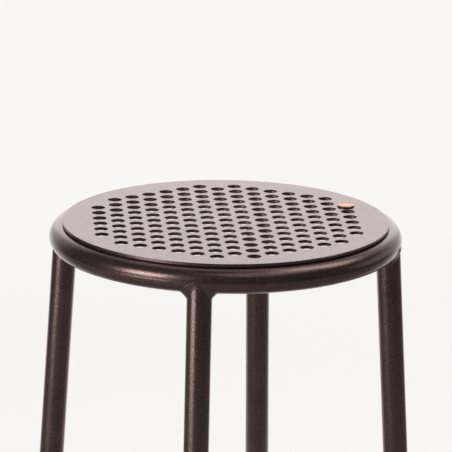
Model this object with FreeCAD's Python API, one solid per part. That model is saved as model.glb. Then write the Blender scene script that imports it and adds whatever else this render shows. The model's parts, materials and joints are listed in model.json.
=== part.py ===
import FreeCAD, Part
import math
import os
from FreeCAD import Vector

# Round metal stool: a flat punched seat disc stands a little above a ring bent from
# round tube, and four round tube legs are welded under that ring and lean outwards.
# The origin is on the floor under the middle of the seat, +Z is up, and the rows of
# holes in the seat run along X. Lengths are in millimetres and angles in degrees.

# Seat panel: a flat disc with a hexagonal field of holes
seat_height = 450.0
panel_thickness = 3.2
panel_edge_inset = 1.0
panel_edge_radius = 0.7
hole_pitch = 21.0
hole_diameter = 14.0
hole_edge_break = 0.2
hole_rim_margin = 4.0

# Seat ring: one tube bent to a circle, under the edge of the panel
ring_radius = 166.0
ring_tube_diameter = 25.0
ring_wall = 1.5
shadow_gap = 0.8
vent_diameter = 8.0

# Gasket: a rubber strip between the panel and the ring, that closes the shadow gap
gasket_recess = 1.5
gasket_width = 4.5
gasket_clearance = 0.2

# Legs: straight tubes that lean outwards from the ring, placed as the photograph shows
leg_tube_diameter = 25.0
leg_wall = 1.5
leg_splay = 3.5
leg_cope_trim = 3.0
leg_places = {
    "back_right": 44.1,
    "back_left": 135.0,
    "front_left": 227.4,
    "front_right": 315.0,
}

# Weld bead round the top of each leg
weld_side_leg = 6.6
weld_flush_leg = 3.4
weld_root = 0.5
weld_side_bulge_share = 0.02
weld_flush_bulge_share = 0.28
weld_sections = 32
saddle_steps = 8

# Foot glide: a plastic pad under each leg, with a ribbed stem in the tube's bore
pad_height = 7.0
pad_lip = 0.6
pad_edge_radius = 1.6
stem_length = 26.0
stem_slack = 1.2
rib_count = 3
rib_height = 2.2
rib_clearance = 0.15
stem_lead = 1.5

# Fixing tabs: flat steel lugs welded to the inner side of the ring
tab_count = 6
tab_width = 16.0
tab_thickness = 3.0
stud_inset = 6.5
tab_hole_clearance = 0.25
tab_weld_leg = 2.5
tab_weld_end_gap = 1.0

# Fasteners between the panel and the tabs
stud_diameter = 6.0
stud_flange_diameter = 8.5
stud_flange_height = 0.8
stud_tip_chamfer = 0.7
stud_tip_reach = 2.0
spacer_diameter = 14.0
spacer_height = 3.0
spacer_clearance = 0.15
washer_diameter = 12.0
washer_thickness = 1.6
washer_clearance = 0.2
nut_across_flats = 10.0
nut_height = 4.0
nut_collar_diameter = 8.6
nut_collar_height = 2.2
nut_chamfer = 0.6
nut_clearance = 0.05
fixing_land = 3.0

# Badge: a plain metal button that fills one place of the hole field
badge_row = -1
badge_diameter = 17.5
badge_collar_height = 0.85
badge_shank_clearance = 0.15
badge_shank_reach = 3.0
badge_shank_wall = 1.2
badge_face_inset = 0.35
badge_face_height = 1.1
badge_rim_width = 1.5
badge_rim_height = 0.5
badge_edge_radius = 0.15
clip_diameter = 19.0
clip_thickness = 0.8
clip_clearance = 0.05

# One overrun serves every cut that has to pass right through
overrun = 5.0

# Worked out from the sizes above
UP = Vector(0, 0, 1)
CENTRE = Vector(0, 0, 0)
HALF_TURN = 180.0
FULL_TURN = 360.0
panel_radius = ring_radius - panel_edge_inset
panel_underside = seat_height - panel_thickness
hole_radius = hole_diameter / 2
row_spacing = hole_pitch * math.sqrt(3) / 2
ring_tube_radius = ring_tube_diameter / 2
ring_bore_radius = ring_tube_radius - ring_wall
ring_height = panel_underside - shadow_gap - ring_tube_radius
leg_radius = leg_tube_diameter / 2
leg_bore_radius = leg_radius - leg_wall
splay = math.radians(leg_splay)
leg_length = ring_height / math.cos(splay)
leg_top_height = ring_height - leg_cope_trim
reach_radius = ring_radius + ring_height * math.tan(splay) + leg_tube_diameter
stud_circle_radius = ring_radius - ring_tube_radius - stud_inset
stud_radius = stud_diameter / 2
lattice_reach = round(stud_circle_radius / hole_pitch)
spacer_radius = spacer_diameter / 2
tab_top = panel_underside - spacer_height
tab_underside = tab_top - tab_thickness
washer_underside = tab_underside - washer_thickness
nut_underside = washer_underside - nut_height - nut_collar_height
stud_tip = nut_underside - stud_tip_reach
badge_radius = badge_diameter / 2
badge_shank_radius = hole_radius - badge_shank_clearance


def unit_out(angle):
    """Unit vector that points away from the stool's axis at an angle in degrees."""
    turn = math.radians(angle)
    return Vector(math.cos(turn), math.sin(turn), 0)


def turned(profile, place=CENTRE):
    """Solid of revolution about +Z from (radius, height) corners, moved to a place."""
    corners = [Vector(radius, 0, height) for radius, height in profile]
    face = Part.Face(Part.makePolygon(corners + [corners[0]]))
    solid = face.revolve(CENTRE, UP, FULL_TURN)
    solid.translate(place)
    return solid


def slab(low, high):
    """Wide round slab about the stool's axis, between two heights."""
    return Part.makeCylinder(reach_radius, high - low, Vector(0, 0, low))


def ring_solid(tube_radius):
    """Filled torus on the centre line of the seat ring."""
    return Part.makeTorus(ring_radius, tube_radius, Vector(0, 0, ring_height), UP)


def make_seat_gasket():
    """Rubber strip just over the ring, set back a little from the panel's edge."""
    outer = panel_radius - gasket_recess
    height = panel_underside - tab_top
    base = Vector(0, 0, tab_top)
    band = Part.makeCylinder(outer, height, base)
    band = band.cut(Part.makeCylinder(outer - gasket_width, height, base))
    return band.cut(ring_solid(ring_tube_radius + gasket_clearance))


def leg_axis(angle):
    """Point where the leg's axis meets the ring's axis, and the direction down the leg."""
    out = unit_out(angle)
    top = out * ring_radius + UP * ring_height
    down = out * math.sin(splay) - UP * math.cos(splay)
    return top, down


def stud_places():
    """Centres of the fixing studs, seen from above."""
    step = FULL_TURN / tab_count
    return [unit_out(index * step) * stud_circle_radius for index in range(tab_count)]


def lattice_row(row):
    """Centres of one row of the hexagonal field, from left to right."""
    count = 2 * lattice_reach + 1 - abs(row)
    start = -(count - 1) * hole_pitch / 2
    return [Vector(start + index * hole_pitch, row * row_spacing, 0) for index in range(count)]


def hole_places():
    """Every hole of the field that clears the panel's rim and the fixing studs."""
    rim_limit = panel_radius - hole_rim_margin - hole_radius
    stud_limit = hole_radius + spacer_radius + fixing_land
    studs = stud_places()
    places = []
    for row in range(-lattice_reach, lattice_reach + 1):
        for place in lattice_row(row):
            near_stud = min(place.distanceToPoint(stud) for stud in studs) < stud_limit
            if place.Length <= rim_limit and not near_stud:
                places.append(place)
    return places


def badge_place():
    """The badge fills the last place of its row that holds a hole."""
    row_height = badge_row * row_spacing
    in_row = [place for place in hole_places() if abs(place.y - row_height) < hole_radius]
    return max(in_row, key=lambda place: place.x)


def make_seat_panel():
    """Flat disc with rounded edges and a punched field, each hole with a broken top edge."""
    disc = Part.makeCylinder(panel_radius, panel_thickness, Vector(0, 0, panel_underside))
    rims = [edge for edge in disc.Edges if edge.Length > panel_radius and edge.Closed]
    disc = disc.makeFillet(panel_edge_radius, rims)
    flare = hole_edge_break + overrun
    punch_profile = [
        (0, panel_underside - overrun),
        (hole_radius, panel_underside - overrun),
        (hole_radius, seat_height - hole_edge_break),
        (hole_radius + flare, seat_height + overrun),
        (0, seat_height + overrun),
    ]
    punch = turned(punch_profile)
    punches = []
    for place in hole_places():
        copy = punch.copy()
        copy.translate(place)
        punches.append(copy)
    return disc.cut(Part.Compound(punches))


def make_seat_ring():
    """Hollow bent tube, with a vent hole into the top of each leg."""
    ring = ring_solid(ring_tube_radius).cut(ring_solid(ring_bore_radius))
    for angle in leg_places.values():
        top, down = leg_axis(angle)
        drill = Part.makeCylinder(vent_diameter / 2, ring_tube_diameter, top, down)
        ring = ring.cut(drill)
    return ring


def make_leg(angle):
    """Leg tube, coped to the ring at its top and cut level above its glide."""
    top, down = leg_axis(angle)
    outer = Part.makeCylinder(leg_radius, leg_length, top, down)
    bore_length = leg_length + 2 * overrun
    bore = Part.makeCylinder(leg_bore_radius, bore_length, top - down * overrun, down)
    tube = outer.cut(bore).common(slab(pad_height, leg_top_height))
    return tube.cut(ring_solid(ring_tube_radius))


def ring_surface(point):
    """Nearest point on the ring's tube, and the way out of the tube there."""
    around = Vector(point.x, point.y, 0).normalize()
    axis_point = around * ring_radius + UP * ring_height
    outwards = (point - axis_point).normalize()
    return axis_point + outwards * ring_tube_radius, outwards


def saddle_point(top, down, outwards):
    """Point where a straight line on the leg's surface reaches the ring's tube."""
    start = top + outwards * leg_radius
    drop = ring_tube_radius
    for _ in range(saddle_steps):
        point = start + down * drop
        across = math.hypot(point.x, point.y) - ring_radius
        depth = math.sqrt(max(0, ring_tube_radius ** 2 - across ** 2))
        drop += (point.z - (ring_height - max(depth, leg_cope_trim))) / math.cos(splay)
    return start + down * drop


def weld_section(angle, turn):
    """Closed outline of the bead at one turn round the leg, a little inside both tubes."""
    top, down = leg_axis(angle)
    along = unit_out(angle + HALF_TURN / 2)
    across = along.cross(down).normalize()
    leg_out = along * math.cos(turn) + across * math.sin(turn)
    corner = saddle_point(top, down, leg_out)
    side_share = math.cos(turn) ** 2
    size = weld_flush_leg + (weld_side_leg - weld_flush_leg) * side_share
    overhang = max(0, leg_radius - ring_tube_radius) * (1 - side_share)
    bulge_share = weld_flush_bulge_share + (weld_side_bulge_share - weld_flush_bulge_share) * side_share
    on_leg = corner + down * size
    guess = corner + leg_out * size * abs(math.cos(turn)) - down * size * abs(math.sin(turn))
    on_ring, ring_out = ring_surface(guess)
    swell = (leg_out + ring_out).normalize()
    crest = (on_leg + on_ring) / 2 + swell * (size * bulge_share + overhang)
    root = corner - swell * (weld_root * 2 + overhang)
    outline = [root, on_leg - leg_out * weld_root, crest, on_ring - ring_out * weld_root]
    return Part.makePolygon(outline + [root])


def make_leg_weld(angle):
    """Fillet bead in the corner between the leg and the ring, all the way round."""
    step = 2 * math.pi / weld_sections
    sections = [weld_section(angle, index * step) for index in range(weld_sections)]
    bead = Part.makeLoft(sections + [sections[0]], True, True)
    top, down = leg_axis(angle)
    leg_core = Part.makeCylinder(leg_radius, leg_length, top, down).common(slab(0, leg_top_height))
    return bead.cut(leg_core).cut(ring_solid(ring_tube_radius))


def make_glide(angle):
    """Plastic foot: a level pad under the tube's end and a ribbed stem inside it."""
    top, down = leg_axis(angle)
    pad = Part.makeCylinder(leg_radius + pad_lip, leg_length + overrun, top, down)
    pad = pad.common(slab(0, pad_height))
    rims = [edge for edge in pad.Edges if edge.BoundBox.ZMax < pad_edge_radius and edge.Closed]
    pad = pad.makeFillet(pad_edge_radius, rims)
    foot = top + down * leg_length
    lift = pad_height / math.cos(splay)
    stem_radius = leg_bore_radius - stem_slack
    stem = Part.makeCylinder(stem_radius, lift + stem_length, foot, -down)
    glide = pad.fuse(stem.common(slab(pad_height / 2, ring_height)))
    rib_step = (stem_length - stem_lead) / rib_count
    for index in range(rib_count):
        base = foot - down * (lift + stem_lead + index * rib_step)
        crest = leg_bore_radius - rib_clearance
        rib = Part.makeCone(stem_radius, crest, rib_height, base - down * rib_height, down)
        glide = glide.fuse(rib)
    return glide.removeSplitter()


def make_tab(place):
    """Flat lug from the ring to a stud, with a round end and a clear hole."""
    out = Vector(place.x, place.y, 0).normalize()
    side = UP.cross(out)
    base = place + UP * tab_underside
    half = tab_width / 2
    far = out * (stud_inset + ring_tube_radius)
    near = side * half
    corners = [base - near, base + far - near, base + far + near, base + near]
    strip = Part.Face(Part.makePolygon(corners + [corners[0]])).extrude(UP * tab_thickness)
    tab = strip.fuse(Part.makeCylinder(half, tab_thickness, base)).removeSplitter()
    hole_size = stud_radius + tab_hole_clearance
    tab = tab.cut(Part.makeCylinder(hole_size, tab_thickness + 2 * overrun, base - UP * overrun))
    return tab.cut(ring_solid(ring_tube_radius))


def make_tab_weld(place):
    """Short fillet bead under a tab, in the corner that it makes with the ring."""
    out = Vector(place.x, place.y, 0).normalize()
    side = UP.cross(out)
    rise = tab_underside - ring_height
    corner_radius = ring_radius - math.sqrt(ring_tube_radius ** 2 - rise ** 2)
    half = tab_width / 2 - tab_weld_end_gap
    start = out * corner_radius + UP * tab_underside - side * half
    leg = out * tab_weld_leg
    low = start - leg * rise / ring_tube_radius - UP * tab_weld_leg
    corners = [start + leg, start - leg, low, low + leg]
    bar = Part.Face(Part.makePolygon(corners + [corners[0]])).extrude(side * (2 * half))
    return bar.cut(ring_solid(ring_tube_radius))


def make_stud(place):
    """Stud with a small flange, welded to the underside of the panel."""
    flange_base = panel_underside - stud_flange_height
    profile = [
        (0, panel_underside),
        (stud_flange_diameter / 2, panel_underside),
        (stud_flange_diameter / 2, flange_base),
        (stud_radius, flange_base),
        (stud_radius, stud_tip + stud_tip_chamfer),
        (stud_radius - stud_tip_chamfer, stud_tip),
        (0, stud_tip),
    ]
    return turned(profile, place)


def make_spacer(place):
    """Rubber spacer between the panel and a tab, hollowed for the stud's flange."""
    bore = stud_radius + spacer_clearance
    pocket = stud_flange_diameter / 2 + spacer_clearance
    pocket_base = panel_underside - stud_flange_height - spacer_clearance
    profile = [
        (bore, tab_top),
        (spacer_radius, tab_top),
        (spacer_radius, panel_underside),
        (pocket, panel_underside),
        (pocket, pocket_base),
        (bore, pocket_base),
    ]
    return turned(profile, place)


def make_washer(place):
    """Plain washer under a tab."""
    bore = stud_radius + washer_clearance
    profile = [
        (bore, washer_underside),
        (washer_diameter / 2, washer_underside),
        (washer_diameter / 2, tab_underside),
        (bore, tab_underside),
    ]
    return turned(profile, place)


def make_nut(place):
    """Hexagonal lock nut with a round collar at its free end."""
    flats = 6
    corner_radius = nut_across_flats / 2 / math.cos(math.pi / flats)
    base = nut_underside + nut_collar_height
    turns = [index * FULL_TURN / flats for index in range(flats)]
    corners = [unit_out(turn) * corner_radius + UP * base for turn in turns]
    hexagon = Part.Face(Part.makePolygon(corners + [corners[0]])).extrude(UP * nut_height)
    bevel_profile = [
        (0, base),
        (corner_radius - nut_chamfer, base),
        (corner_radius, base + nut_chamfer),
        (corner_radius, washer_underside - nut_chamfer),
        (corner_radius - nut_chamfer, washer_underside),
        (0, washer_underside),
    ]
    low = Vector(0, 0, nut_underside)
    collar = Part.makeCylinder(nut_collar_diameter / 2, nut_collar_height, low)
    bore_length = nut_height + nut_collar_height + 2 * overrun
    bore = Part.makeCylinder(stud_radius + nut_clearance, bore_length, low - UP * overrun)
    nut = hexagon.common(turned(bevel_profile)).fuse(collar).cut(bore).removeSplitter()
    nut.translate(place)
    return nut


def make_badge_collar():
    """Dark collar on the panel, with a hollow shank that fills the punched hole."""
    shank_tip = panel_underside - badge_shank_reach
    shank_bore = badge_shank_radius - badge_shank_wall
    collar_top = seat_height + badge_collar_height
    profile = [
        (0, collar_top),
        (badge_radius - badge_edge_radius, collar_top),
        (badge_radius, collar_top - badge_edge_radius),
        (badge_radius, seat_height),
        (badge_shank_radius, seat_height),
        (badge_shank_radius, shank_tip),
        (shank_bore, shank_tip),
        (shank_bore, seat_height),
        (0, seat_height),
    ]
    return turned(profile, badge_place())


def make_badge_face():
    """Plain copper-coloured disc on the collar, with a raised rim."""
    base = seat_height + badge_collar_height
    top = base + badge_face_height
    rim_top = top + badge_rim_height
    outer = badge_radius - badge_face_inset
    inner = outer - badge_rim_width
    profile = [
        (0, base),
        (outer, base),
        (outer, rim_top - badge_edge_radius),
        (outer - badge_edge_radius, rim_top),
        (inner + badge_edge_radius, rim_top),
        (inner - badge_edge_radius, top),
        (0, top),
    ]
    return turned(profile, badge_place())


def make_badge_clip():
    """Push-on ring that holds the badge's shank under the panel."""
    bore = badge_shank_radius + clip_clearance
    clip_base = panel_underside - clip_thickness
    profile = [
        (bore, clip_base),
        (clip_diameter / 2, clip_base),
        (clip_diameter / 2, panel_underside),
        (bore, panel_underside),
    ]
    return turned(profile, badge_place())


def make_all():
    """Every named piece of the stool."""
    nodes = {
        "seat_panel": make_seat_panel(),
        "seat_ring": make_seat_ring(),
        "seat_gasket": make_seat_gasket(),
    }
    for name, angle in leg_places.items():
        nodes["leg_" + name] = make_leg(angle)
        nodes["leg_weld_" + name] = make_leg_weld(angle)
        nodes["foot_glide_" + name] = make_glide(angle)
    studs = stud_places()
    for index, place in enumerate(studs):
        nodes["fixing_tab_%d" % (index + 1)] = make_tab(place)
    nodes["tab_weld_beads"] = Part.Compound([make_tab_weld(place) for place in studs])
    nodes["panel_studs"] = Part.Compound([make_stud(place) for place in studs])
    nodes["panel_spacers"] = Part.Compound([make_spacer(place) for place in studs])
    nodes["stud_washers"] = Part.Compound([make_washer(place) for place in studs])
    nodes["stud_lock_nuts"] = Part.Compound([make_nut(place) for place in studs])
    nodes["badge_collar"] = make_badge_collar()
    nodes["badge_face"] = make_badge_face()
    nodes["badge_clip"] = make_badge_clip()
    return nodes


os.makedirs("parts", exist_ok=True)
for node_name, shape in make_all().items():
    shape.exportStep("parts/" + node_name + ".step")
    print(node_name, len(shape.Solids), "solids, valid", shape.isValid(), "volume", shape.Volume)
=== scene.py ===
import json
import math

import bmesh
import bpy
from mathutils import Matrix, Vector, noise


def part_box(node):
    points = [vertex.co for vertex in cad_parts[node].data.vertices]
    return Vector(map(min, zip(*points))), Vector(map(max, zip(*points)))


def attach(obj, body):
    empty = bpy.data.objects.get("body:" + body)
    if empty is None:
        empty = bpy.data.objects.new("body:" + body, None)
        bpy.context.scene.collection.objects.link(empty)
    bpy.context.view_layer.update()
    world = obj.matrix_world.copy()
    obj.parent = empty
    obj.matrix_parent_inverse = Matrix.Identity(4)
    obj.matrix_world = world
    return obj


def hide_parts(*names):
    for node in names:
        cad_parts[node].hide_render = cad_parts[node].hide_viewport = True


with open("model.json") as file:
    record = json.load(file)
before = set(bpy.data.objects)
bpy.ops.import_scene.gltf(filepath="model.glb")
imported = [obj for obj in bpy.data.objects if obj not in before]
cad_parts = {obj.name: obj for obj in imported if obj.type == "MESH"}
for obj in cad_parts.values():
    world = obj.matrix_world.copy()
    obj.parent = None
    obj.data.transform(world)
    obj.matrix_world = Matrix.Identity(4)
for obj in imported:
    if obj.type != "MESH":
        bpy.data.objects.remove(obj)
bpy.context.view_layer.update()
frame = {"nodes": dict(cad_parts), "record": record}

# Sizes here are metres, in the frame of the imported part

MM = 0.001
UP = Vector((0, 0, 1))

# The ring and the top of the seat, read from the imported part
RING_LOW, RING_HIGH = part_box("seat_ring")
RING_TUBE_RADIUS = (RING_HIGH.z - RING_LOW.z) / 2
RING_RADIUS = RING_HIGH.x - RING_TUBE_RADIUS
RING_HEIGHT = (RING_HIGH.z + RING_LOW.z) / 2
SEAT_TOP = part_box("seat_panel")[1].z

# The legs, with the values of the part's source
LEG_RADIUS = 12.5 * MM
LEG_SPLAY = math.radians(3.5)
LEG_TURNS = {"back_right": 44.1, "back_left": 135, "front_left": 227.4, "front_right": 315}

# The camera, in the photograph's own plan: right, away and up from the seat's middle
PHOTO_RIGHT_TURN = math.radians(-34.2)
CAMERA_RIGHT = 0.25 * MM
CAMERA_AWAY = -3326.7 * MM
CAMERA_RISE = 889.3 * MM
CAMERA_PITCH = math.radians(15.065)
CAMERA_ROLL = math.radians(0.823)
FOCAL_PX = 3404.7
IMAGE_PX = 452
SENSOR_MM = 36.0
CLIP_NEAR = 0.1
CLIP_FAR = 60
PHOTO_RIGHT = Vector((math.cos(PHOTO_RIGHT_TURN), math.sin(PHOTO_RIGHT_TURN), 0))
PHOTO_AWAY = UP.cross(PHOTO_RIGHT)

# What the camera sees behind the stool
BACKGROUND = (0.939, 0.931, 0.913, 1)


def emptied(owner):
    """Node tree of a material or world, with nothing in it yet."""
    owner.use_nodes = True
    owner.node_tree.nodes.clear()
    return owner.node_tree


def principled(name):
    """New material with one Principled shader on its output."""
    material = bpy.data.materials.new(name)
    tree = emptied(material)
    output = tree.nodes.new("ShaderNodeOutputMaterial")
    shader = tree.nodes.new("ShaderNodeBsdfPrincipled")
    tree.links.new(shader.outputs["BSDF"], output.inputs["Surface"])
    return material, shader


def feed(tree, socket, value):
    """An input takes the output of another node, or a plain number or colour."""
    if isinstance(value, bpy.types.NodeSocket):
        tree.links.new(value, socket)
    else:
        socket.default_value = value


def object_noise(tree, scale, detail):
    """Noise in the part's own coordinates, so that it stays put on the metal."""
    coordinates = tree.nodes.new("ShaderNodeTexCoord")
    texture = tree.nodes.new("ShaderNodeTexNoise")
    texture.inputs["Scale"].default_value = scale
    texture.inputs["Detail"].default_value = detail
    tree.links.new(coordinates.outputs["Object"], texture.inputs["Vector"])
    return texture.outputs["Fac"]


def object_cells(tree, scale):
    """Cells of random colours in the part's own coordinates, as separate channels."""
    coordinates = tree.nodes.new("ShaderNodeTexCoord")
    texture = tree.nodes.new("ShaderNodeTexVoronoi")
    texture.inputs["Scale"].default_value = scale
    tree.links.new(coordinates.outputs["Object"], texture.inputs["Vector"])
    channels = tree.nodes.new("ShaderNodeSeparateColor")
    tree.links.new(texture.outputs["Color"], channels.inputs["Color"])
    return channels.outputs


def remap(tree, value, spread, reach=(0, 1)):
    """Value stretched from one range to another, and held at its ends."""
    mapper = tree.nodes.new("ShaderNodeMapRange")
    for socket, limit in zip(("From Min", "From Max", "To Min", "To Max"), spread + reach):
        mapper.inputs[socket].default_value = limit
    tree.links.new(value, mapper.inputs["Value"])
    return mapper.outputs["Result"]


def mix_colour(tree, factor, first, second):
    """Colour between two others; each is a socket or a plain colour."""
    mixer = tree.nodes.new("ShaderNodeMix")
    mixer.data_type = "RGBA"
    tree.links.new(factor, mixer.inputs["Factor"])
    feed(tree, mixer.inputs[6], first)
    feed(tree, mixer.inputs[7], second)
    return mixer.outputs[2]


def mix_shaders(tree, factor, first, second):
    """Shader between two others."""
    mixer = tree.nodes.new("ShaderNodeMixShader")
    tree.links.new(factor, mixer.inputs["Fac"])
    tree.links.new(first, mixer.inputs[1])
    tree.links.new(second, mixer.inputs[2])
    return mixer.outputs["Shader"]


def glow(tree, kind, colour, strength=1):
    """Background or emission shader with a colour and a strength."""
    shader = tree.nodes.new(kind)
    feed(tree, shader.inputs["Color"], colour)
    feed(tree, shader.inputs["Strength"], strength)
    return shader.outputs[0]


def combine(tree, operation, *values):
    """Result of one arithmetic node over sockets or plain numbers."""
    node = tree.nodes.new("ShaderNodeMath")
    node.operation = operation
    for socket, value in zip(node.inputs, values):
        feed(tree, socket, value)
    return node.outputs["Value"]


def along_direction(tree, vector, direction):
    """How far a vector reaches along a fixed direction."""
    node = tree.nodes.new("ShaderNodeVectorMath")
    node.operation = "DOT_PRODUCT"
    node.inputs[1].default_value = direction
    tree.links.new(vector, node.inputs[0])
    return node.outputs["Value"]


def bump(tree, height, relief, under=None):
    """Bump from a height, over another bump if there is one; relief is strength and distance."""
    node = tree.nodes.new("ShaderNodeBump")
    node.inputs["Strength"].default_value, node.inputs["Distance"].default_value = relief
    tree.links.new(height, node.inputs["Height"])
    if under is not None:
        tree.links.new(under, node.inputs["Normal"])
    return node.outputs["Normal"]


def shaded(colour, share):
    """Colour made lighter or darker by a share."""
    return tuple(min(1, channel * share) for channel in colour[:3]) + (1,)


# The part of a noise's range that a pattern uses
CLOUD_SPREAD = (0.35, 0.65)
GRAIN_SPREAD = (0.3, 0.7)

# Powder coat; scales are patterns per metre, reliefs are strength and height
COAT_DARK = (0.195, 0.121, 0.107, 1)
COAT_LIGHT = (0.235, 0.150, 0.134, 1)
COAT_FLAKE = (0.52, 0.35, 0.32, 1)
COAT_EDGE = (1.0, 0.99, 1.0, 1)
COAT_DRIFT_SCALE = 38
COAT_GRAIN_SCALE = 900
COAT_PEEL_SCALE = 420
COAT_PEEL_RELIEF = (0.15, 0.08 * MM)
COAT_UNEVEN = 0.04
COAT_METALLIC = 0.9
CLEAR_WEIGHT = 0.6
CLEAR_ROUGHNESS = 0.20
FLAKE_SCALE = 1250
FLAKE_SPREAD = (0.55, 1.0)
FLAKE_REACH = (0, 0.45)
FLAKE_RELIEF = (0.15, 0.03 * MM)
COLLAR_DARK = (0.05, 0.03, 0.025, 1)
COLLAR_LIGHT = (0.07, 0.045, 0.038, 1)

# Plastic and rubber
PLASTIC_BLACK = (0.012, 0.012, 0.012, 1)
RUBBER_BLACK = (0.045, 0.037, 0.034, 1)
PLASTIC_SCALE = 1500
PLASTIC_RELIEF = (0.4, 0.05 * MM)
PLASTIC_LIGHTER = 1.7
PLASTIC_UNEVEN = 0.08

# Steel of the fasteners and the clip
ZINC = (0.62, 0.62, 0.60, 1)
SPRING_STEEL = (0.42, 0.42, 0.42, 1)
STEEL_CLOUD_SCALE = 160
STEEL_SCRATCH_SCALE = 2200
STEEL_RELIEF = (0.2, 0.02 * MM)
STEEL_DARKER = 0.72
STEEL_SMOOTHER = 0.08
STEEL_ROUGHER = 0.1

# Copper of the badge
COPPER_DULL = (0.87, 0.54, 0.39, 1)
COPPER_BRIGHT = (0.95, 0.66, 0.50, 1)
COPPER_EDGE = (1.0, 0.84, 0.74, 1)
COPPER_CLOUD_SCALE = 260
COPPER_GRAIN_SCALE = 3000
COPPER_RELIEF = (0.15, 0.02 * MM)
COPPER_ROUGHNESS = (0.22, 0.32)
COPPER_METALLIC = 0.8


def powder_coat(name, dark, light, roughness):
    """Satin metallic powder coat: brown base, slow colour drift, fine flakes and orange peel."""
    material, shader = principled(name)
    tree = material.node_tree
    drift = remap(tree, object_noise(tree, COAT_DRIFT_SCALE, detail=3), CLOUD_SPREAD)
    base = mix_colour(tree, drift, dark, light)
    cells = object_cells(tree, FLAKE_SCALE)
    flakes = remap(tree, cells["Red"], FLAKE_SPREAD, FLAKE_REACH)
    tree.links.new(mix_colour(tree, flakes, base, COAT_FLAKE), shader.inputs["Base Color"])
    grain = object_noise(tree, COAT_GRAIN_SCALE, detail=2)
    reach = (roughness - COAT_UNEVEN, roughness + COAT_UNEVEN)
    tree.links.new(remap(tree, grain, GRAIN_SPREAD, reach), shader.inputs["Roughness"])
    peel = bump(tree, object_noise(tree, COAT_PEEL_SCALE, detail=2), COAT_PEEL_RELIEF)
    tree.links.new(bump(tree, cells["Green"], FLAKE_RELIEF, peel), shader.inputs["Normal"])
    shader.inputs["Metallic"].default_value = COAT_METALLIC
    shader.inputs["Specular Tint"].default_value = COAT_EDGE
    shader.inputs["Coat Weight"].default_value = CLEAR_WEIGHT
    shader.inputs["Coat Roughness"].default_value = CLEAR_ROUGHNESS
    return material


def moulded_plastic(name, colour, roughness):
    """Matt moulded plastic or rubber with a fine spark-eroded texture."""
    material, shader = principled(name)
    tree = material.node_tree
    fine = object_noise(tree, PLASTIC_SCALE, detail=3)
    lighter = shaded(colour, PLASTIC_LIGHTER)
    tree.links.new(mix_colour(tree, fine, colour, lighter), shader.inputs["Base Color"])
    reach = (roughness - PLASTIC_UNEVEN, roughness + PLASTIC_UNEVEN)
    tree.links.new(remap(tree, fine, GRAIN_SPREAD, reach), shader.inputs["Roughness"])
    tree.links.new(bump(tree, fine, PLASTIC_RELIEF), shader.inputs["Normal"])
    return material


def plated_steel(name, colour, roughness):
    """Zinc plated or spring steel with faint cloudy patches and fine scratches."""
    material, shader = principled(name)
    tree = material.node_tree
    patches = remap(tree, object_noise(tree, STEEL_CLOUD_SCALE, detail=4), CLOUD_SPREAD)
    darker = shaded(colour, STEEL_DARKER)
    tree.links.new(mix_colour(tree, patches, darker, colour), shader.inputs["Base Color"])
    scratches = object_noise(tree, STEEL_SCRATCH_SCALE, detail=2)
    reach = (roughness - STEEL_SMOOTHER, roughness + STEEL_ROUGHER)
    tree.links.new(remap(tree, scratches, GRAIN_SPREAD, reach), shader.inputs["Roughness"])
    tree.links.new(bump(tree, scratches, STEEL_RELIEF), shader.inputs["Normal"])
    shader.inputs["Metallic"].default_value = 1.0
    return material


def badge_copper(name):
    """Satin copper-coloured metal with a faint grain and warmer, duller patches."""
    material, shader = principled(name)
    tree = material.node_tree
    clouds = remap(tree, object_noise(tree, COPPER_CLOUD_SCALE, detail=3), CLOUD_SPREAD)
    copper = mix_colour(tree, clouds, COPPER_DULL, COPPER_BRIGHT)
    tree.links.new(copper, shader.inputs["Base Color"])
    grain = object_noise(tree, COPPER_GRAIN_SCALE, detail=2)
    rough = remap(tree, grain, GRAIN_SPREAD, COPPER_ROUGHNESS)
    tree.links.new(rough, shader.inputs["Roughness"])
    tree.links.new(bump(tree, grain, COPPER_RELIEF), shader.inputs["Normal"])
    shader.inputs["Metallic"].default_value = COPPER_METALLIC
    shader.inputs["Specular Tint"].default_value = COPPER_EDGE
    return material


FINISHES = {
    "frame_coat": powder_coat("frame_coat", COAT_DARK, COAT_LIGHT, roughness=0.29),
    "seat_coat": powder_coat("seat_coat", COAT_DARK, COAT_LIGHT, roughness=0.29),
    "weld_coat": powder_coat("weld_coat", COAT_DARK, COAT_LIGHT, roughness=0.33),
    "badge_collar_coat": powder_coat("badge_collar_coat", COLLAR_DARK, COLLAR_LIGHT, roughness=0.36),
    "foot_plastic": moulded_plastic("foot_plastic", PLASTIC_BLACK, roughness=0.52),
    "spacer_rubber": moulded_plastic("spacer_rubber", RUBBER_BLACK, roughness=0.68),
    "fastener_steel": plated_steel("fastener_steel", ZINC, roughness=0.34),
    "clip_steel": plated_steel("clip_steel", SPRING_STEEL, roughness=0.30),
    "badge_copper": badge_copper("badge_copper"),
}


def finish_cad_nodes():
    """Every CAD node takes the finish that the record names for it."""
    for entry in frame["record"]["subparts"]:
        materials = frame["nodes"][entry["node"]].data.materials
        materials.clear()
        materials.append(FINISHES[entry["material_slot"]])


# Weld beads round the tops of the legs
WELD_TURNS = 180
WELD_PROFILE = 10
WELD_FLUSH = 3.4 * MM
WELD_ROOT = 1.0 * MM
WELD_BLEND = 0.3
WELD_RUNOUT = 0.8 * MM
WELD_SINK = 0.12 * MM
WELD_TRIM = 3.0 * MM
SADDLE_STEPS = 8

# For each leg the bead's size on its two sides along the ring, and its swelling on the outside
WELD_SIDES = {
    "back_right": (6.4 * MM, 6.2 * MM, 0.3 * MM),
    "back_left": (6.0 * MM, 6.5 * MM, 0.2 * MM),
    "front_left": (5.6 * MM, 7.2 * MM, 0.0 * MM),
    "front_right": (6.4 * MM, 6.0 * MM, 1.0 * MM),
}

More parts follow.
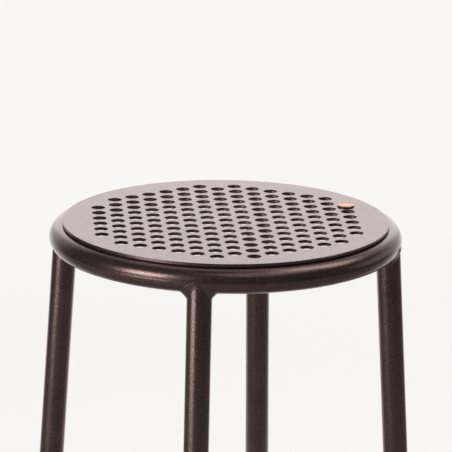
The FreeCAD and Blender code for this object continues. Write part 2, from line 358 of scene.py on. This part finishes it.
# Ripples and unevenness of the beads; the noise is nil at whole numbers, so seeds lie between
RIPPLE_PITCH = 2.1 * MM
RIPPLE_DEPTH = 0.3 * MM
RIPPLE_STRETCH = 1.35
RIPPLE_WANDER = 1.4
RIPPLE_MEAN = 0.5
UNEVEN_RATE = 2.1
UNEVEN_SHARE = 0.10
FIRST_SEED = 0.5


def leg_axis(turn):
    """Where a leg's axis meets the ring's axis, the way down the leg and the way outwards."""
    out = Vector((math.cos(math.radians(turn)), math.sin(math.radians(turn)), 0))
    top = out * RING_RADIUS + UP * RING_HEIGHT
    down = out * math.sin(LEG_SPLAY) - UP * math.cos(LEG_SPLAY)
    return top, down, out


def on_ring(point):
    """Nearest point on the ring's tube, and the way out of the tube there."""
    around = Vector((point.x, point.y, 0)).normalized()
    axis_point = around * RING_RADIUS + UP * RING_HEIGHT
    outwards = (point - axis_point).normalized()
    return axis_point + outwards * RING_TUBE_RADIUS, outwards


def saddle(top, down, outwards):
    """Point where a line on the leg's surface reaches the ring's tube."""
    start = top + outwards * LEG_RADIUS
    drop = RING_TUBE_RADIUS
    for _ in range(SADDLE_STEPS):
        point = start + down * drop
        across = math.hypot(point.x, point.y) - RING_RADIUS
        depth = math.sqrt(max(0, RING_TUBE_RADIUS ** 2 - across ** 2))
        drop += (point.z - (RING_HEIGHT - max(depth, WELD_TRIM))) / math.cos(LEG_SPLAY)
    return start + down * drop


def weld_ring(top, down, along, across, sides, turn, seed):
    """One closed outline of a bead, rippled and a little uneven."""
    leg_out = along * math.cos(turn) + across * math.sin(turn)
    corner = saddle(top, down, leg_out)
    side_share = math.cos(turn) ** 2
    side = sides[0] if math.cos(turn) > 0 else sides[1]
    place = Vector((math.cos(turn) * UNEVEN_RATE, math.sin(turn) * UNEVEN_RATE, seed))
    uneven = noise.noise(place)
    size = (WELD_FLUSH + (side - WELD_FLUSH) * side_share) * (1 + UNEVEN_SHARE * uneven)
    leg_foot = corner + down * size
    guess = corner + leg_out * size * abs(math.cos(turn)) - down * size * abs(math.sin(turn))
    ring_foot, ring_out = on_ring(guess)
    swell = (leg_out + ring_out).normalized()
    path = turn * LEG_RADIUS * RIPPLE_STRETCH / RIPPLE_PITCH
    ripple = abs(math.sin(math.pi * path + RIPPLE_WANDER * uneven)) - RIPPLE_MEAN
    outer_share = max(0, -math.sin(turn)) ** 2
    bulge = RIPPLE_DEPTH * ripple * side_share + sides[2] * outer_share
    to_corner = corner - ring_foot
    along_ring = (to_corner - ring_out * to_corner.dot(ring_out)).normalized()
    leg_handle = leg_foot - down * size * WELD_BLEND
    ring_handle = ring_foot + along_ring * size * WELD_BLEND
    points = [corner - swell * WELD_ROOT, leg_foot + down * WELD_RUNOUT - leg_out * WELD_SINK]
    for index in range(WELD_PROFILE + 1):
        share = index / WELD_PROFILE
        rest = 1 - share
        curve = (leg_foot * rest ** 3 + leg_handle * (3 * rest ** 2 * share)
                 + ring_handle * (3 * rest * share ** 2) + ring_foot * share ** 3)
        points.append(curve + swell * bulge * math.sin(math.pi * share) ** 2)
    points.append(ring_foot - along_ring * WELD_RUNOUT - ring_out * WELD_SINK)
    return points


def smooth_mesh(name, vertices, faces, slot):
    """New piece with smooth faces, its finish and its place on the root body."""
    mesh = bpy.data.meshes.new(name)
    mesh.from_pydata(vertices, [], faces)
    mesh.update()
    editor = bmesh.new()
    editor.from_mesh(mesh)
    bmesh.ops.recalc_face_normals(editor, faces=editor.faces)
    editor.to_mesh(mesh)
    editor.free()
    mesh.shade_smooth()
    piece = bpy.data.objects.new(name, mesh)
    bpy.context.scene.collection.objects.link(piece)
    mesh.materials.append(FINISHES[slot])
    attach(piece, "root")
    return piece


def closed_tube(rows):
    """Vertices and quads of a tube through closed outlines, joined end to end."""
    count = len(rows[0])
    vertices = [point for row in rows for point in row]
    faces = []
    for row in range(len(rows)):
        start = row * count
        following = (row + 1) % len(rows) * count
        for index in range(count):
            after = (index + 1) % count
            faces.append((start + index, start + after, following + after, following + index))
    return vertices, faces


def build_leg_weld(place, turn, seed):
    """Weld bead round the top of one leg, in place of the plain bead of the CAD part."""
    top, down, out = leg_axis(turn)
    along = UP.cross(out)
    across = along.cross(down).normalized()
    step = 2 * math.pi / WELD_TURNS
    rows = [weld_ring(top, down, along, across, WELD_SIDES[place], index * step, seed)
            for index in range(WELD_TURNS)]
    vertices, faces = closed_tube(rows)
    bead = smooth_mesh("weld_bead_" + place, vertices, faces, "weld_coat")
    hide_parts("leg_weld_" + place)


# The badge's button; its heights are shares of the CAD face's height
BADGE_SEGMENTS = 96
BADGE_STEPS = 14
BADGE_RIM = 2.4 * MM
BADGE_MIDDLE = 0.60
BADGE_CREST = 0.60
BADGE_GROOVE = 0.52
BADGE_SIDE = 0.30
BADGE_FALL_POWER = 4


def badge_profile(radius, height):
    """Radius and height of the badge's top from its middle to its edge, then its base."""
    dish = radius - BADGE_RIM
    points = []
    for index in range(BADGE_STEPS):
        share = index / BADGE_STEPS
        fall = (BADGE_MIDDLE - BADGE_GROOVE) * share ** BADGE_FALL_POWER
        points.append((dish * share, height * (BADGE_MIDDLE - fall)))
    for index in range(BADGE_STEPS + 1):
        turn = math.pi * index / BADGE_STEPS
        foot = BADGE_GROOVE if turn < math.pi / 2 else BADGE_SIDE
        rise = height * (foot + (BADGE_CREST - foot) * math.sin(turn))
        points.append((dish + BADGE_RIM * (1 - math.cos(turn)) / 2, rise))
    points.append((radius, 0))
    return points


def build_badge():
    """Plain turned button: a slightly crowned face in a low rolled rim, on the badge's collar."""
    low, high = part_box("badge_face")
    centre = (low + high) / 2
    profile = badge_profile((high.x - low.x) / 2, high.z - low.z)
    vertices = [Vector((centre.x, centre.y, low.z + profile[0][1]))]
    for radius, rise in profile[1:]:
        for index in range(BADGE_SEGMENTS):
            turn = 2 * math.pi * index / BADGE_SEGMENTS
            across = Vector((math.cos(turn), math.sin(turn), 0)) * radius
            vertices.append(Vector((centre.x, centre.y, low.z + rise)) + across)
    vertices.append(Vector((centre.x, centre.y, low.z)))
    last = len(vertices) - 1
    rows = len(profile) - 1
    edge = 1 + (rows - 1) * BADGE_SEGMENTS
    faces = []
    for index in range(BADGE_SEGMENTS):
        after = (index + 1) % BADGE_SEGMENTS
        faces.append((0, 1 + index, 1 + after))
        for row in range(rows - 1):
            start = 1 + row * BADGE_SEGMENTS
            below = start + BADGE_SEGMENTS
            faces.append((start + index, below + index, below + after, start + after))
        faces.append((edge + index, last, edge + after))
    button = smooth_mesh("badge_button", vertices, faces, "badge_copper")
    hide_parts("badge_face")


def add_camera():
    """Camera at the photograph's own place, solved from the holes of the seat."""
    data = bpy.data.cameras.new("camera")
    data.sensor_width = SENSOR_MM
    data.lens = SENSOR_MM * FOCAL_PX / IMAGE_PX
    data.clip_start = CLIP_NEAR
    data.clip_end = CLIP_FAR
    camera = bpy.data.objects.new("camera", data)
    bpy.context.scene.collection.objects.link(camera)
    forward = PHOTO_AWAY * math.cos(CAMERA_PITCH) - UP * math.sin(CAMERA_PITCH)
    level_up = PHOTO_RIGHT.cross(forward)
    right = PHOTO_RIGHT * math.cos(CAMERA_ROLL) + level_up * math.sin(CAMERA_ROLL)
    up = right.cross(forward)
    rise = SEAT_TOP + CAMERA_RISE
    place = PHOTO_RIGHT * CAMERA_RIGHT + PHOTO_AWAY * CAMERA_AWAY + UP * rise
    turned = Matrix((right, up, -forward)).transposed().to_4x4()
    camera.matrix_world = Matrix.Translation(place) @ turned
    bpy.context.scene.camera = camera


# Lamps: turn from the camera, positive to its right, rise, distance, width, height and power
LAMPS = {
    "key_left": (-52, 21, 2.2, 1.0, 0.9, 11.5),
    "key_low": (-50, -14, 2.2, 1.15, 0.5, 10),
    "back_soft": (180, 13, 3.2, 2.6, 1.3, 5.3),
    "back_high": (180, 58, 2.2, 1.6, 0.9, 1.4),
    "top_soft": (114, 56, 2.2, 1.1, 1.1, 6),
    "side_right": (110, 10, 2.2, 1.7, 0.8, 1.1),
    "top_front": (40, 66, 2.2, 1.6, 1.2, 2.5),
}


def softbox(name, turn, rise, distance, width, height, power):
    """Area lamp aimed at the seat; its turn and rise are degrees."""
    lamp = bpy.data.lights.new(name, "AREA")
    lamp.shape = "RECTANGLE"
    lamp.size = width
    lamp.size_y = height
    lamp.energy = power
    holder = bpy.data.objects.new(name, lamp)
    bpy.context.scene.collection.objects.link(holder)
    level = -PHOTO_AWAY * math.cos(math.radians(turn)) + PHOTO_RIGHT * math.sin(math.radians(turn))
    towards = level * math.cos(math.radians(rise)) + UP * math.sin(math.radians(rise))
    holder.location = UP * RING_HEIGHT + towards * distance
    holder.rotation_euler = (-towards).to_track_quat("-Z", "Y").to_euler()


# The white wall behind the stool grows from nil to full with how far a direction goes each way
WALL_LIGHT = (0.96, 0.95, 0.945, 1)
ROOM_LIGHT = (0.058, 0.057, 0.057, 1)
WALL_AWAY = (0.60, 1.0)
WALL_DOWN = (-0.78, -0.42)


def add_world():
    """White wall behind the stool and a dim room in front; the camera sees a plain backdrop."""
    world = bpy.data.worlds.new("studio")
    bpy.context.scene.world = world
    tree = emptied(world)
    output = tree.nodes.new("ShaderNodeOutputWorld")
    direction = tree.nodes.new("ShaderNodeTexCoord").outputs["Generated"]
    by_camera = tree.nodes.new("ShaderNodeLightPath").outputs["Is Camera Ray"]
    away = remap(tree, along_direction(tree, direction, PHOTO_AWAY), WALL_AWAY)
    down = remap(tree, along_direction(tree, direction, -UP), WALL_DOWN)
    wall = combine(tree, "MULTIPLY", away, down)
    studio = glow(tree, "ShaderNodeBackground", mix_colour(tree, wall, ROOM_LIGHT, WALL_LIGHT))
    plain = glow(tree, "ShaderNodeBackground", BACKGROUND)
    tree.links.new(mix_shaders(tree, by_camera, studio, plain), output.inputs["Surface"])


# The floor; the camera sees it pale with the shadow, and plain background from further out
FLOOR_RADIUS = 9.0
FLOOR_SEGMENTS = 96
FLOOR_PALE = (0.86, 0.855, 0.84, 1)
FLOOR_DIM = (0.46, 0.455, 0.45, 1)
FLOOR_LIFT = 0.70
SHADOW_FADE = (0.9, 1.6)

# The bright sector that reflections see: how far back it starts, and its width over its depth
MIRROR_DEPTH = (-0.1, 0.8)
MIRROR_SLANT = (0.1, 1.2)
MIRROR_ROOM = 0.3
MIRROR_LIGHT = 1.5


def floor_material():
    """Pale paper near the stool, plain background far out, and the sector for reflections."""
    material = bpy.data.materials.new("floor")
    tree = emptied(material)
    output = tree.nodes.new("ShaderNodeOutputMaterial")
    place = tree.nodes.new("ShaderNodeTexCoord").outputs["Object"]
    path = tree.nodes.new("ShaderNodeLightPath")
    by_camera = path.outputs["Is Camera Ray"]
    by_gloss = path.outputs["Is Glossy Ray"]

    paper = tree.nodes.new("ShaderNodeBsdfDiffuse")
    feed(tree, paper.inputs["Color"], mix_colour(tree, by_camera, FLOOR_DIM, FLOOR_PALE))
    lift = combine(tree, "MULTIPLY", by_camera, FLOOR_LIFT)
    near = tree.nodes.new("ShaderNodeAddShader")
    tree.links.new(paper.outputs["BSDF"], near.inputs[0])
    tree.links.new(glow(tree, "ShaderNodeEmission", BACKGROUND, lift), near.inputs[1])

    distance = tree.nodes.new("ShaderNodeVectorMath")
    distance.operation = "LENGTH"
    tree.links.new(place, distance.inputs[0])
    fade = remap(tree, distance.outputs["Value"], SHADOW_FADE)
    seen = combine(tree, "MULTIPLY", by_camera, fade)

    depth = along_direction(tree, place, PHOTO_AWAY)
    aside = combine(tree, "ABSOLUTE", along_direction(tree, place, PHOTO_RIGHT))
    slant = combine(tree, "DIVIDE", aside, combine(tree, "ADD", depth, MIRROR_ROOM))
    behind = remap(tree, depth, MIRROR_DEPTH)
    middle = remap(tree, slant, MIRROR_SLANT, (1, 0))
    sector = combine(tree, "MULTIPLY", behind, middle)
    mirrored = combine(tree, "MULTIPLY", by_gloss, sector)

    strength = remap(tree, by_gloss, (0, 1), (1, MIRROR_LIGHT))
    plain = glow(tree, "ShaderNodeEmission", BACKGROUND, strength)
    plain_share = combine(tree, "MAXIMUM", seen, mirrored)
    mixed = mix_shaders(tree, plain_share, near.outputs["Shader"], plain)
    tree.links.new(mixed, output.inputs["Surface"])
    return material


def add_floor():
    """Round floor that keeps the stool's shadow and fades into the background."""
    mesh = bpy.data.meshes.new("floor")
    disc = bmesh.new()
    bmesh.ops.create_circle(disc, cap_ends=True, segments=FLOOR_SEGMENTS, radius=FLOOR_RADIUS)
    disc.to_mesh(mesh)
    disc.free()
    floor = bpy.data.objects.new("floor", mesh)
    bpy.context.scene.collection.objects.link(floor)
    mesh.materials.append(floor_material())


finish_cad_nodes()
for number, (place, turn) in enumerate(LEG_TURNS.items()):
    build_leg_weld(place, turn, number + FIRST_SEED)
build_badge()
add_camera()
add_world()
add_floor()
for name, setting in LAMPS.items():
    softbox(name, *setting)
bpy.context.scene.view_settings.view_transform = "Standard"
